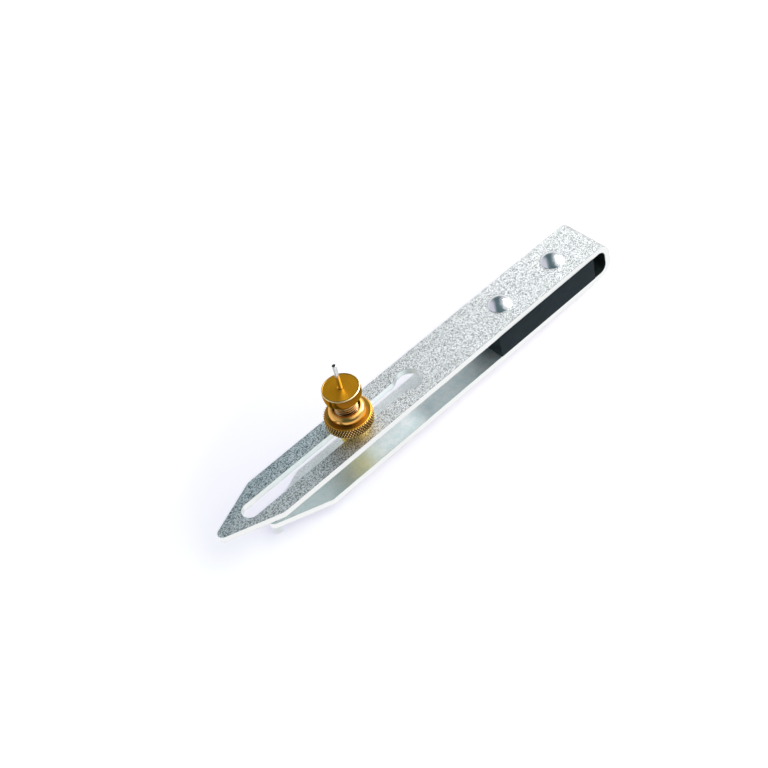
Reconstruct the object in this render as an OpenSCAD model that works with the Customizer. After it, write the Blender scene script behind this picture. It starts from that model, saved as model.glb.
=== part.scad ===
// Recess scriber for sheet flooring: a hairpin of plated steel strip whose lower arm slides
// under the sheet while a needle, clamped in the upper arm's slot, marks the sheet from above.
// Millimetres. +X runs from the tips to the bend, +Z is up, and the origin lies under the
// middle of the length, level with the foot of the guide pin.

/* [Strip frame] */
// Length from the upper tip to the outside of the bend
frame_len = 176; // [150:1:220]
// Width of the steel strip
strip_w = 19; // [17:0.5:26]
// Thickness of the steel strip
strip_t = 2.5; // [1.5:0.1:3.5]
// Clear space between the arms
arm_gap = 9.5; // [9:0.5:14]
// Inside radius of the two corners of the bend
bend_r = 3; // [1:0.5:4.5]
// Length of each taper, up to the point where its sides would meet
taper_len = 23.8; // [18:0.2:30]
// Radius of the rounded tips
tip_r = 2; // [1.8:0.1:2.6]
// Distance of the lower tip behind the upper one
lower_setback = 18.5; // [12:0.5:28]

/* [Slot in the upper arm] */
// Width of the slot
slot_w = 6.4; // [6:0.1:8]
// Distance from the upper tip to the front end of the slot
slot_start = 10.6; // [9.5:0.2:20]
// Distance from the upper tip to the middle of the keyhole
keyhole_x = 85.2; // [75:0.2:100]
// Clearance on the radius of the keyhole, where the foot ring goes in and out
keyhole_clearance = 0.3; // [0.1:0.05:0.8]

/* [Spacer block and rivets] */
// Length of the block
block_len = 48.2; // [40:0.2:60]
// Hollow length of straight arm left between the block and the bend
block_setback = 3; // [1:0.2:8]
// How far each side of the block stands proud of the strip
block_proud = 0.3; // [0.1:0.05:0.6]
// Distance from each end of the block to its rivet
rivet_inset = 10.7; // [8:0.1:16]
// Diameter of the rivet shanks
rivet_d = 5; // [3:0.1:6]
// Diameter of the domed rivet heads
rivet_head_d = 8.9; // [7:0.1:11]
// Height of the domed rivet heads
rivet_head_h = 2.3; // [1.2:0.1:3]

/* [Guide pin] */
// Diameter of the pin that follows the edge below
pin_d = 3.4; // [2.8:0.1:3.5]
// Length of the pin below the lower arm
pin_drop = 3.4; // [3.1:0.1:6]
// Diameter of its spigot in the arm
pin_spigot_d = 2.2; // [1.6:0.1:2.4]

/* [Clamp] */
// Distance from the upper tip to the clamp
clamp_x = 59; // [30:0.5:70]
// Diameter of the washer
washer_d = 11; // [10.2:0.1:14]
// Thickness of the washer
washer_t = 1.2; // [0.8:0.1:2]
// Outside diameter of the screw thread
thread_d = 8; // [7.8:0.1:9]
// Pitch of the screw thread
thread_pitch = 1; // [0.75:0.05:1.25]
// Height of the plain boss under the knurled band
nut_boss_h = 1.9; // [1.2:0.1:3]
// Diameter of that boss
nut_boss_d = 10.4; // [9.8:0.1:12]
// Diameter over the knurled band
knurl_d = 17; // [15:0.1:20]
// Height of the knurled band
knurl_h = 4.1; // [3:0.1:6]
// Diameter of the smooth collar above the band
collar_d = 13; // [11.6:0.1:14]
// Height of the smooth collar
collar_h = 3.3; // [2:0.1:5]
// Length of thread that shows between the nut and the head
thread_shown = 5.4; // [3.5:0.1:9]
// Diameter of the screw's head
head_d = 13.3; // [11:0.1:16]
// Height of the screw's head
head_h = 3.7; // [2.5:0.1:6]
// Depth of the flats that keep the screw from turning in the slot
flat_depth = 0.2; // [0.1:0.05:0.4]
// Turns that loosen the nut fully
nut_turns = 3; // [1:0.5:3]
// Diameter of the foot ring under the upper arm
foot_d = 9.2; // [8.6:0.1:9.4]
// Thickness of the foot ring
foot_t = 2.2; // [1.2:0.1:3]
// Diameter of the screw's spigot in the foot ring
foot_spigot_d = 5; // [4:0.1:5.6]

/* [Needle] */
// Diameter of the needle
needle_d = 1.5; // [1:0.1:2]
// Length of needle above the head
needle_above = 10.7; // [6:0.1:16]
// Length of needle below the foot ring
needle_below = 1.6; // [1:0.1:2]
// Length of its ground point
needle_point = 4; // [2:0.1:6]

/* [Fits] */
// Clearance on each side of the clamp's neck in the slot and in the washer
slide_clearance = 0.1; // [0.05:0.01:0.1]
// Clearance on the radius of the thread and of the needle's bore
turn_clearance = 0.05; // [0.02:0.01:0.1]
// Clearance on the radius of riveted and pressed shanks
press_clearance = 0.02; // [0.01:0.01:0.05]

/* [Hidden] */
$fn = 64;

// Heights, from the lowest point up
lower_z = max(pin_drop, rivet_head_h);
lower_top = lower_z + strip_t;
upper_z = lower_top + arm_gap;
upper_top = upper_z + strip_t;
nut_z = upper_top + washer_t;
knurl_z = nut_z + nut_boss_h;
collar_z = knurl_z + knurl_h;
nut_top = collar_z + collar_h;
head_z = nut_top + thread_shown;
head_top = head_z + head_h;
foot_z = upper_z - foot_t;

// Places along the length
tip_x = -frame_len / 2;
lower_tip_x = tip_x + lower_setback;
bend_x = frame_len / 2 - strip_t - bend_r;
block_back_x = bend_x - block_setback;
block_front_x = block_back_x - block_len;
rivet_xs = [block_front_x + rivet_inset, block_back_x - rivet_inset];
slot_front_x = tip_x + slot_start + slot_w / 2;
keyhole_mid_x = tip_x + keyhole_x;
keyhole_d = foot_d + 2 * keyhole_clearance;
screw_x = tip_x + clamp_x;
pin_x = lower_tip_x + tip_r;

// The sides of a taper and where they touch the rounded tip
taper_angle = atan2(strip_w / 2, taper_len);
tip_touch = [tip_r * (1 - sin(taper_angle)), tip_r * cos(taper_angle)];
taper_end = tip_r - tip_r / sin(taper_angle) + taper_len;

// The clamp screw's thread, which stays above the washer when the nut is fully loose
loosen_drop = nut_turns * thread_pitch;
thread_margin = 0.3;
thread_z = nut_z + loosen_drop + thread_margin;
thread_depth = 0.6 * thread_pitch;
core_d = thread_d - 2 * thread_depth;
neck_flats = slot_w - 2 * slide_clearance;
neck_d = neck_flats + 2 * flat_depth;
washer_bore_d = neck_d + 2 * slide_clearance;

// Small edge shapes
nut_edge = 0.5;
collar_round = 1.5;
mouth_depth = 1.6;
rim_flat = 0.15;
mouth_d = collar_d - 2 * (collar_round + rim_flat);
head_edge = 0.2;
head_barrel = 0.15;
block_edge = 0.25;
needle_end = 0.15;
pin_edge = 0.4;
cut = 1;

// A point on a circle around a centre
function around(centre, radius, angle) = centre + radius * [cos(angle), sin(angle)];

// Points along an arc, in equal steps
function arc(centre, radius, from, to, steps = 8) =
    [for (i = [0 : steps]) around(centre, radius, from + (to - from) * i / steps)];

// A vertical hole from just below one height to just above another
module hole(x, low, high, diameter) {
    translate([x, 0, low - cut]) cylinder(d = diameter, h = high - low + 2 * cut);
}

// One straight arm, lying on a height, from its rounded tip to the bend
module arm(x, z) {
    half_w = strip_w / 2;
    translate([0, 0, z]) {
        linear_extrude(strip_t) polygon([
            [x + tip_touch[0], -tip_touch[1]],
            [x + taper_end, -half_w],
            [bend_x, -half_w],
            [bend_x, half_w],
            [x + taper_end, half_w],
            [x + tip_touch[0], tip_touch[1]]
        ]);
        translate([x + tip_r, 0, 0]) cylinder(r = tip_r, h = strip_t);
    }
}

// A quarter turn of strip about a line across the frame, starting level at its outer side
module bend_corner(z, start) {
    translate([bend_x, strip_w / 2, z])
        rotate([90, start, 0])
            rotate_extrude(angle = 90)
                translate([bend_r, 0]) square([strip_t, strip_w]);
}

// The closed end: two corners with a short flat back between them
module bend() {
    low_mid = lower_top + bend_r;
    high_mid = upper_z - bend_r;
    bend_corner(high_mid, 0);
    bend_corner(low_mid, 90);
    translate([bend_x + bend_r, -strip_w / 2, low_mid])
        cube([strip_t, strip_w, high_mid - low_mid]);
}

// Slot with its keyhole, through the upper arm
module slot_cut() {
    hole(slot_front_x, upper_z, upper_top, slot_w);
    hole(keyhole_mid_x, upper_z, upper_top, keyhole_d);
    translate([slot_front_x, -slot_w / 2, upper_z - cut])
        cube([keyhole_mid_x - slot_front_x, slot_w, strip_t + 2 * cut]);
}

module frame_strip() {
    color("lightgray") difference() {
        union() {
            arm(tip_x, upper_z);
            arm(lower_tip_x, lower_z);
            bend();
        }
        slot_cut();
        for (x = rivet_xs) hole(x, lower_z, upper_top, rivet_d + 2 * press_clearance);
        hole(pin_x, lower_z, lower_top, pin_spigot_d + 2 * press_clearance);
    }
}

// A plain bar with the four edges that run along its sides eased
module spacer_block() {
    half_w = strip_w / 2 + block_proud;
    color("darkslategray") difference() {
        translate([block_front_x, 0, lower_top])
            rotate([90, 0, 90]) linear_extrude(block_len) polygon([
                [-half_w + block_edge, 0], [half_w - block_edge, 0],
                [half_w, block_edge], [half_w, arm_gap - block_edge],
                [half_w - block_edge, arm_gap], [-half_w + block_edge, arm_gap],
                [-half_w, arm_gap - block_edge], [-half_w, block_edge]
            ]);
        for (x = rivet_xs) hole(x, lower_top, upper_z, rivet_d + 2 * press_clearance);
    }
}

// A low dome standing on a height
module rivet_dome() {
    dome_r = (pow(rivet_head_d / 2, 2) + pow(rivet_head_h, 2)) / (2 * rivet_head_h);
    intersection() {
        translate([0, 0, rivet_head_h - dome_r]) sphere(r = dome_r);
        cylinder(d = rivet_head_d, h = rivet_head_h);
    }
}

// Solid rivet through both arms and the block, headed at both ends
module rivet(x) {
    color("whitesmoke") translate([x, 0, 0]) {
        translate([0, 0, upper_top]) rivet_dome();
        translate([0, 0, lower_z]) mirror([0, 0, 1]) rivet_dome();
        translate([0, 0, lower_z]) cylinder(d = rivet_d, h = upper_top - lower_z);
    }
}

module rivet_front() { rivet(rivet_xs[0]); }

module rivet_rear() { rivet(rivet_xs[1]); }

// Shouldered pin, its spigot riveted flush in the lower tip
module guide_pin() {
    foot = lower_z - pin_drop;
    color("gainsboro") translate([pin_x, 0, 0]) {
        translate([0, 0, foot]) cylinder(d1 = pin_d - 2 * pin_edge, d2 = pin_d, h = pin_edge);
        translate([0, 0, foot + pin_edge]) cylinder(d = pin_d, h = pin_drop - pin_edge);
        translate([0, 0, lower_z]) cylinder(d = pin_spigot_d, h = strip_t);
    }
}

module clamp_washer() {
    color("silver") difference() {
        translate([screw_x, 0, upper_top]) cylinder(d = washer_d, h = washer_t);
        hole(screw_x, upper_top, nut_z, washer_bore_d);
    }
}

// Turned nut: plain boss, knurled band, and a rounded collar with a countersunk mouth
module knurled_nut() {
    bore_r = thread_d / 2 + turn_clearance;
    rim_mid = [collar_d / 2 - collar_round, nut_top - collar_round];
    color("goldenrod") translate([screw_x, 0, 0]) rotate_extrude() polygon(concat(
        [
            [bore_r, nut_z],
            [nut_boss_d / 2, nut_z],
            [nut_boss_d / 2, knurl_z],
            [knurl_d / 2 - nut_edge, knurl_z],
            [knurl_d / 2, knurl_z + nut_edge],
            [knurl_d / 2, collar_z - nut_edge],
            [knurl_d / 2 - nut_edge, collar_z],
            [collar_d / 2, collar_z]
        ],
        arc(rim_mid, collar_round, 0, 90),
        [
            [mouth_d / 2, nut_top],
            [bore_r, nut_top - mouth_depth]
        ]
    ));
}

// Half section of the thread: a ridge for each pitch, from the neck up to the head
module thread_section() {
    ridges = floor((head_z - thread_z) / thread_pitch);
    first = head_z - ridges * thread_pitch;
    crest = thread_pitch / 8;
    polygon(concat(
        [[0, thread_z], [core_d / 2, thread_z]],
        [for (i = [0 : ridges - 1], p = [
            [core_d / 2, 0.25 * thread_pitch],
            [thread_d / 2, 0.5 * thread_pitch - crest / 2],
            [thread_d / 2, 0.5 * thread_pitch + crest / 2],
            [core_d / 2, 0.75 * thread_pitch]
        ]) [p[0], p[1] + first + i * thread_pitch]],
        [[core_d / 2, head_z], [0, head_z]]
    ));
}

// Half section of the head: flat top, eased rims and a slightly barrelled side
module head_section() {
    half_side = head_h / 2 - head_edge;
    side_r = (pow(half_side, 2) + pow(head_barrel, 2)) / (2 * head_barrel);
    side_mid = [head_d / 2 - side_r, head_z + head_h / 2];
    half_angle = asin(half_side / side_r);
    rim_r = head_d / 2 - head_barrel - head_edge;
    polygon(concat(
        [[0, head_z], [rim_r, head_z]],
        arc(side_mid, side_r, -half_angle, half_angle),
        [[rim_r, head_top], [0, head_top]]
    ));
}

// Screw drilled through for the needle, with a flatted neck and a spigot for the foot ring
module clamp_screw() {
    color("goldenrod") translate([screw_x, 0, 0]) difference() {
        union() {
            rotate_extrude() thread_section();
            rotate_extrude() head_section();
            intersection() {
                translate([0, 0, upper_z]) cylinder(d = neck_d, h = thread_z - upper_z);
                translate([-neck_d, -neck_flats / 2, upper_z])
                    cube([2 * neck_d, neck_flats, thread_z - upper_z]);
            }
            translate([0, 0, foot_z]) cylinder(d = foot_spigot_d, h = foot_t);
        }
        hole(0, foot_z, head_top, needle_d + 2 * turn_clearance);
    }
}

// Ring riveted on the screw's lower end, drawn up under the arm
module foot_ring() {
    color("goldenrod") difference() {
        translate([screw_x, 0, foot_z]) cylinder(d = foot_d, h = foot_t);
        hole(screw_x, foot_z, upper_z, foot_spigot_d + 2 * press_clearance);
    }
}

// Hardened needle, flat at the top and ground to a point below
module scribing_needle() {
    low = foot_z - needle_below;
    high = head_top + needle_above;
    needle_r = needle_d / 2;
    color("silver") translate([screw_x, 0, 0]) rotate_extrude() polygon([
        [0, low],
        [needle_r, low + needle_point],
        [needle_r, high - needle_end],
        [needle_r - needle_end, high],
        [0, high]
    ]);
}

frame_strip();
spacer_block();
rivet_front();
rivet_rear();
guide_pin();
clamp_washer();
knurled_nut();
clamp_screw();
foot_ring();
scribing_needle();
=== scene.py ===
import math

import bpy
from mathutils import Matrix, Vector


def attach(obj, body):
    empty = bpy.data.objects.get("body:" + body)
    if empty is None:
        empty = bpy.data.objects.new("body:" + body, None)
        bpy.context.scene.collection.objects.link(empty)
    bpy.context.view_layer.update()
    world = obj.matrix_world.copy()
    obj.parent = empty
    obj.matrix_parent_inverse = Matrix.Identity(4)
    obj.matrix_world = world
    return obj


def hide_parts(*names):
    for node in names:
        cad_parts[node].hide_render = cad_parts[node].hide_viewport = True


# Recess scriber: a hairpin of zinc-plated strip with a slotted upper arm, a black spacer block held
# by two rivets, a guide pin under the lower tip, and a brass clamp that holds a scribing needle.
# All sizes are in metres, in the part's own frame.

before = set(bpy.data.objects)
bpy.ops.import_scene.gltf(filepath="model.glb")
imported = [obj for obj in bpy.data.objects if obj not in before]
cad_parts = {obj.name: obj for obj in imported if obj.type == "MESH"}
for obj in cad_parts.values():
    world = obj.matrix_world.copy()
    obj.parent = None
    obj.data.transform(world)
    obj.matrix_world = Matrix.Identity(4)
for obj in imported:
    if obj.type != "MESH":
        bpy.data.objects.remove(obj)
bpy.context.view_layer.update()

MM = 0.001
WELD = 0.001 * MM
FULL_TURN = 2 * math.pi
QUARTER_TURN = math.pi / 2

# The strip
FRAME_LEN = 176 * MM
STRIP_W = 19 * MM
STRIP_T = 2.5 * MM
ARM_GAP = 9.5 * MM
BEND_R = 3 * MM
TAPER_LEN = 23.8 * MM
TIP_R = 2 * MM
LOWER_SETBACK = 18.5 * MM
STRIP_EDGE = 0.22 * MM

# The slot with its keyhole, whose corners are eased by a fillet
SLOT_W = 6.4 * MM
SLOT_START = 10.6 * MM
KEYHOLE_X = 85.2 * MM
KEYHOLE_R = 4.9 * MM
KEYHOLE_FILLET = 4 * MM

# The block and its rivets
BLOCK_LEN = 48.2 * MM
BLOCK_SETBACK = 3 * MM
BLOCK_PROUD = 0.3 * MM
BLOCK_EDGE = 0.25 * MM
RIVET_INSET = 10.7 * MM
RIVET_R = 2.5 * MM
RIVET_HEAD_R = 4.45 * MM
RIVET_HEAD_H = 2.3 * MM
RIVET_LIP = 0.15 * MM
PRESS_GAP = 0.02 * MM

# The guide pin
PIN_R = 1.7 * MM
PIN_DROP = 3.4 * MM
PIN_EDGE = 0.4 * MM
PIN_SPIGOT_R = 1.1 * MM

# The clamp
CLAMP_X = 59 * MM
WASHER_R = 5.5 * MM
WASHER_BORE_R = 3.4 * MM
WASHER_T = 1.2 * MM
SMALL_EDGE = 0.12 * MM
THREAD_R = 4 * MM
THREAD_CORE_R = 3.4 * MM
THREAD_PITCH = 1 * MM
RIDGE_CREST = THREAD_PITCH / 8
RIDGE_FOOT = 0.72 * THREAD_PITCH
RIDGE_SINK = 0.1 * MM
NUT_BORE_R = 4.05 * MM
NUT_BOSS_R = 5.2 * MM
NUT_BOSS_H = 1.9 * MM
KNURL_R = 8.5 * MM
KNURL_H = 4.1 * MM
KNURL_DEPTH = 0.45 * MM
KNURL_EDGE = 0.3 * MM
KNURL_PEAKS = 54
KNURL_ROWS = 4
COLLAR_R = 6.5 * MM
COLLAR_H = 3.3 * MM
COLLAR_SIDE = 0.7 * MM
MOUTH_R = 4.9 * MM
MOUTH_DEPTH = 1.6 * MM
THREAD_SHOWN = 5.4 * MM
HEAD_R = 6.65 * MM
HEAD_H = 3.7 * MM
HEAD_EDGE = 0.2 * MM
HEAD_BARREL = 0.15 * MM
HEAD_LIP = 0.3 * MM
HEAD_DISH = 0.1 * MM
NECK_R = 3.3 * MM
NECK_FLAT = 3.1 * MM
NECK_RISE = 4.5 * MM
FOOT_R = 4.6 * MM
FOOT_T = 2.2 * MM
FOOT_SPIGOT_R = 2.5 * MM

# The needle and its hole through the screw
NEEDLE_R = 0.75 * MM
NEEDLE_ABOVE = 10.7 * MM
NEEDLE_BELOW = 1.6 * MM
NEEDLE_POINT = 4 * MM
NEEDLE_END = 0.15 * MM
NEEDLE_HOLE_R = 0.8 * MM
HOLE_MOUTH = 0.3 * MM

# Heights, from the lowest point up
LOWER_Z = PIN_DROP
LOWER_TOP = LOWER_Z + STRIP_T
UPPER_Z = LOWER_TOP + ARM_GAP
UPPER_TOP = UPPER_Z + STRIP_T
NUT_Z = UPPER_TOP + WASHER_T
KNURL_Z = NUT_Z + NUT_BOSS_H
COLLAR_Z = KNURL_Z + KNURL_H
NUT_TOP = COLLAR_Z + COLLAR_H
HEAD_Z = NUT_TOP + THREAD_SHOWN
HEAD_TOP = HEAD_Z + HEAD_H
FOOT_Z = UPPER_Z - FOOT_T
THREAD_Z = UPPER_TOP + NECK_RISE
NEEDLE_TOP = HEAD_TOP + NEEDLE_ABOVE
NEEDLE_LOW = FOOT_Z - NEEDLE_BELOW

# Places along the length
TIP_X = -FRAME_LEN / 2
LOWER_TIP_X = TIP_X + LOWER_SETBACK
BEND_X = FRAME_LEN / 2 - STRIP_T - BEND_R
BLOCK_BACK_X = BEND_X - BLOCK_SETBACK
BLOCK_FRONT_X = BLOCK_BACK_X - BLOCK_LEN
RIVET_XS = (BLOCK_FRONT_X + RIVET_INSET, BLOCK_BACK_X - RIVET_INSET)
SLOT_FRONT_X = TIP_X + SLOT_START + SLOT_W / 2
KEYHOLE_MID_X = TIP_X + KEYHOLE_X
SCREW_X = TIP_X + CLAMP_X
PIN_X = LOWER_TIP_X + TIP_R

# How far a cutting tool runs past what it cuts
SPARE = 1 * MM

# How finely curves are drawn
LATHE_STEPS = 96
BIT_STEPS = 32
DRILL_SIDES = 64
BEND_STEPS = 14
TIP_STEPS = 20
SLOT_END_STEPS = 24
KEYHOLE_STEPS = 40
FILLET_STEPS = 8
DOME_STEPS = 14
PIN_FOOT_STEPS = 6
COLLAR_STEPS = 16
HEAD_SIDE_STEPS = 12
THREAD_STEPS = 70

# Angles in degrees: edges sharper than the first are eased, shading is smooth up to the next three,
# and the thread's ridge starts at the last, clear of the lathe's own points
SHARP_ANGLE = 40
SMOOTH_FLAT = 40
SMOOTH_TURNED = 30
SMOOTH_THREAD = 28
RIDGE_START = 2


def around(centre, radius, angle):
    """The point on a circle at an angle in degrees."""
    turn = math.radians(angle)
    return (centre[0] + radius * math.cos(turn), centre[1] + radius * math.sin(turn))


def arc(centre, radius, start, end, steps):
    """Points along an arc, from one angle to another, in degrees."""
    return [around(centre, radius, start + (end - start) * i / steps) for i in range(steps + 1)]


def leave_edit():
    """Back to object mode with nothing selected."""
    if bpy.context.object and bpy.context.object.mode == "EDIT":
        bpy.ops.object.mode_set(mode="OBJECT")
    bpy.ops.object.select_all(action="DESELECT")


def pick(piece):
    """Makes one piece the only selected and active one."""
    leave_edit()
    piece.select_set(True)
    bpy.context.view_layer.objects.active = piece


def apply(piece, kind, **settings):
    """Adds a modifier with its settings and applies it."""
    pick(piece)
    step = piece.modifiers.new(kind.lower(), kind)
    for name, value in settings.items():
        setattr(step, name, value)
    bpy.ops.object.modifier_apply(modifier=step.name)


def carve(piece, tool, operation):
    """Cuts a piece with a tool or joins them, and drops the tool."""
    apply(piece, "BOOLEAN", operation=operation, solver="EXACT", object=tool)
    bpy.data.objects.remove(tool)


def wire(name, points):
    """A chain of edges: a small plane drawn together to one vertex and extruded from point to point."""
    leave_edit()
    bpy.ops.mesh.primitive_plane_add(size=MM)
    piece = bpy.context.object
    piece.name = name
    bpy.ops.object.mode_set(mode="EDIT")
    bpy.ops.mesh.select_mode(type="VERT")
    bpy.ops.mesh.select_all(action="SELECT")
    bpy.ops.mesh.merge(type="CENTER")
    bpy.ops.transform.translate(value=points[0])
    for here, there in zip(points, points[1:]):
        bpy.ops.mesh.extrude_region_move(TRANSFORM_OT_translate={"value": there - here})
    return piece


def weld():
    """Merges points that meet and turns all faces of the edited mesh outwards."""
    bpy.ops.mesh.select_all(action="SELECT")
    bpy.ops.mesh.remove_doubles(threshold=WELD)
    bpy.ops.mesh.normals_make_consistent(inside=False)


def place(piece, x):
    """Moves a finished mesh along the length, leaving its object at the origin."""
    pick(piece)
    piece.location.x = x
    bpy.ops.object.transform_apply(location=True)


def turned(name, section, x=0.0, steps=LATHE_STEPS):
    """A lathe piece: a half section of (radius, height) points spun round an upright axis at x."""
    piece = wire(name, [Vector((radius, 0, height)) for radius, height in section])
    bpy.ops.mesh.select_all(action="SELECT")
    bpy.ops.mesh.spin(steps=steps, angle=FULL_TURN, center=(0, 0, 0), axis=(0, 0, 1))
    weld()
    place(piece, x)
    return piece


def prism(name, outline, low, high):
    """An upright block between two heights, from its outline in plan."""
    corners = [Vector((x, y, low)) for x, y in outline]
    piece = wire(name, corners + corners[:1])
    bpy.ops.mesh.select_all(action="SELECT")
    bpy.ops.mesh.remove_doubles(threshold=WELD)
    bpy.ops.mesh.edge_face_add()
    bpy.ops.mesh.extrude_region_move(TRANSFORM_OT_translate={"value": (0, 0, high - low)})
    weld()
    leave_edit()
    return piece


def drill(x, radius, low, high):
    """An upright round tool that runs past both heights."""
    leave_edit()
    depth = high - low + 2 * SPARE
    middle = (x, 0, (low + high) / 2)
    bpy.ops.mesh.primitive_cylinder_add(radius=radius, depth=depth, vertices=DRILL_SIDES, location=middle)
    return bpy.context.object


def select_where(piece, kind, wanted):
    """Edit mode, with only the points or the faces selected whose place is wanted."""
    pick(piece)
    bpy.ops.object.mode_set(mode="EDIT")
    bpy.ops.mesh.select_mode(type=kind)
    bpy.ops.mesh.select_all(action="DESELECT")
    bpy.ops.object.mode_set(mode="OBJECT")
    if kind == "VERT":
        for point in piece.data.vertices:
            point.select = wanted(point.co)
    else:
        for face in piece.data.polygons:
            face.select = wanted(face.center)
    bpy.ops.object.mode_set(mode="EDIT")


def ease_edges(piece, width, steps):
    """Rounds all sharp edges of a piece by a small width."""
    sharp = math.radians(SHARP_ANGLE)
    apply(piece, "BEVEL", width=width, segments=steps, limit_method="ANGLE", angle_limit=sharp)


def smooth(piece, angle=SMOOTH_TURNED, weigh=False):
    """Smooth shading up to an angle in degrees. Weighed by area, the broad flats stay flat."""
    pick(piece)
    bpy.ops.object.shade_smooth_by_angle(angle=math.radians(angle))
    if weigh:
        apply(piece, "WEIGHTED_NORMAL", keep_sharp=True)


def tip_waste(tip_x):
    """Plan of what is cut away round a rounded, tapering tip."""
    half_angle = math.degrees(math.atan2(STRIP_W / 2, TAPER_LEN))
    tip_arc = arc((tip_x + TIP_R, 0), TIP_R, 90 + half_angle, 270 - half_angle, TIP_STEPS)
    wide = STRIP_W / 2 + SPARE
    arc_x, arc_y = tip_arc[0]
    back_x = arc_x + (wide - arc_y) / math.tan(math.radians(half_angle))
    front_x = tip_x - SPARE
    return [(back_x, wide)] + tip_arc + [(back_x, -wide), (front_x, -wide), (front_x, wide)]


def slot_outline():
    """Plan of the slot: a round front end, straight sides, and fillets into the round keyhole."""
    half = SLOT_W / 2
    front = arc((SLOT_FRONT_X, 0), half, 90, 270, SLOT_END_STEPS)
    reach = KEYHOLE_R + KEYHOLE_FILLET
    rise = half + KEYHOLE_FILLET
    back = math.sqrt(reach**2 - rise**2)
    meet = math.degrees(math.atan2(rise, -back))
    low_fillet = arc((KEYHOLE_MID_X - back, -rise), KEYHOLE_FILLET, 90, 180 - meet, FILLET_STEPS)
    keyhole = arc((KEYHOLE_MID_X, 0), KEYHOLE_R, -meet, meet, KEYHOLE_STEPS)
    high_fillet = arc((KEYHOLE_MID_X - back, rise), KEYHOLE_FILLET, meet - 180, -90, FILLET_STEPS)
    return front + low_fillet + keyhole[1:-1] + high_fillet


def hairpin_strip():
    """The strip: its outer face drawn round the bend, given its thickness, then cut to its outline."""
    leave_edit()
    bpy.ops.mesh.primitive_plane_add(size=1, location=((TIP_X + BEND_X) / 2, 0, UPPER_TOP))
    piece = bpy.context.object
    piece.name = "hairpin_strip"
    bpy.ops.transform.resize(value=(BEND_X - TIP_X, STRIP_W, 1))
    bpy.ops.object.transform_apply(location=True, scale=True)
    high_mid = UPPER_Z - BEND_R
    low_mid = LOWER_TOP + BEND_R
    select_where(piece, "VERT", lambda point: point.x > BEND_X - WELD)
    bpy.ops.mesh.spin(steps=BEND_STEPS, angle=-QUARTER_TURN, center=(BEND_X, 0, high_mid), axis=(0, 1, 0))
    bpy.ops.mesh.extrude_region_move(TRANSFORM_OT_translate={"value": (0, 0, low_mid - high_mid)})
    bpy.ops.mesh.spin(steps=BEND_STEPS, angle=-QUARTER_TURN, center=(BEND_X, 0, low_mid), axis=(0, 1, 0))
    bpy.ops.mesh.extrude_region_move(TRANSFORM_OT_translate={"value": (LOWER_TIP_X - BEND_X, 0, 0)})
    weld()
    leave_edit()
    apply(piece, "SOLIDIFY", thickness=STRIP_T, offset=-1, use_even_offset=True)
    for tip_x, low in ((TIP_X, UPPER_Z), (LOWER_TIP_X, LOWER_Z)):
        carve(piece, prism("tip_waste", tip_waste(tip_x), low - SPARE, low + STRIP_T + SPARE), "DIFFERENCE")
    carve(piece, prism("slot_waste", slot_outline(), UPPER_Z - SPARE, UPPER_TOP + SPARE), "DIFFERENCE")
    for x in RIVET_XS:
        carve(piece, drill(x, RIVET_R + PRESS_GAP, LOWER_Z, UPPER_TOP), "DIFFERENCE")
    carve(piece, drill(PIN_X, PIN_SPIGOT_R + PRESS_GAP, LOWER_Z, LOWER_TOP), "DIFFERENCE")
    ease_edges(piece, STRIP_EDGE, 3)
    smooth(piece, SMOOTH_FLAT, weigh=True)
    return piece


def spacer_block():
    """The black bar: a cube drawn to size, eased along its edges and drilled for the rivets."""
    leave_edit()
    middle = ((BLOCK_FRONT_X + BLOCK_BACK_X) / 2, 0, (LOWER_TOP + UPPER_Z) / 2)
    bpy.ops.mesh.primitive_cube_add(size=1, location=middle)
    piece = bpy.context.object
    piece.name = "packing_block"
    bpy.ops.transform.resize(value=(BLOCK_LEN, STRIP_W + 2 * BLOCK_PROUD, ARM_GAP))
    bpy.ops.object.transform_apply(location=True, scale=True)
    ease_edges(piece, BLOCK_EDGE, 2)
    for x in RIVET_XS:
        carve(piece, drill(x, RIVET_R + PRESS_GAP, LOWER_TOP, UPPER_Z), "DIFFERENCE")
    smooth(piece, SMOOTH_FLAT, weigh=True)
    return piece


def dome(base, rise):
    """Half section of a domed head from its lip to its crown, upwards for a rise of 1, down for -1."""
    crown = RIVET_HEAD_H - RIVET_LIP
    radius = (RIVET_HEAD_R**2 + crown**2) / (2 * crown)
    lip_angle = math.degrees(math.asin(RIVET_HEAD_R / radius))
    bow = arc((0, RIVET_HEAD_H - radius), radius, 90 - lip_angle, 90, DOME_STEPS)
    return [(RIVET_HEAD_R, base)] + [(max(r, 0), base + rise * h) for r, h in bow]


def rivet_section():
    """Half section of a rivet, from the crown below, up its shank, to the crown above."""
    below = dome(LOWER_Z, -1)
    above = dome(UPPER_TOP, 1)
    return below[::-1] + [(RIVET_R, LOWER_Z), (RIVET_R, UPPER_TOP)] + above


def pin_section():
    """Half section of the guide pin with its eased foot and its spigot."""
    foot = arc((PIN_R - PIN_EDGE, PIN_EDGE), PIN_EDGE, -90, 0, PIN_FOOT_STEPS)
    return [(0, 0)] + foot + [
        (PIN_R, LOWER_Z),
        (PIN_SPIGOT_R, LOWER_Z),
        (PIN_SPIGOT_R, LOWER_TOP),
        (0, LOWER_TOP),
    ]


def ring_section(inner, outer, low, high):
    """Closed half section of a flat ring with eased edges."""
    ease = SMALL_EDGE
    return [
        (inner, low + ease), (inner + ease, low), (outer - ease, low), (outer, low + ease),
        (outer, high - ease), (outer - ease, high), (inner + ease, high), (inner, high - ease),
        (inner, low + ease),
    ]


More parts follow.
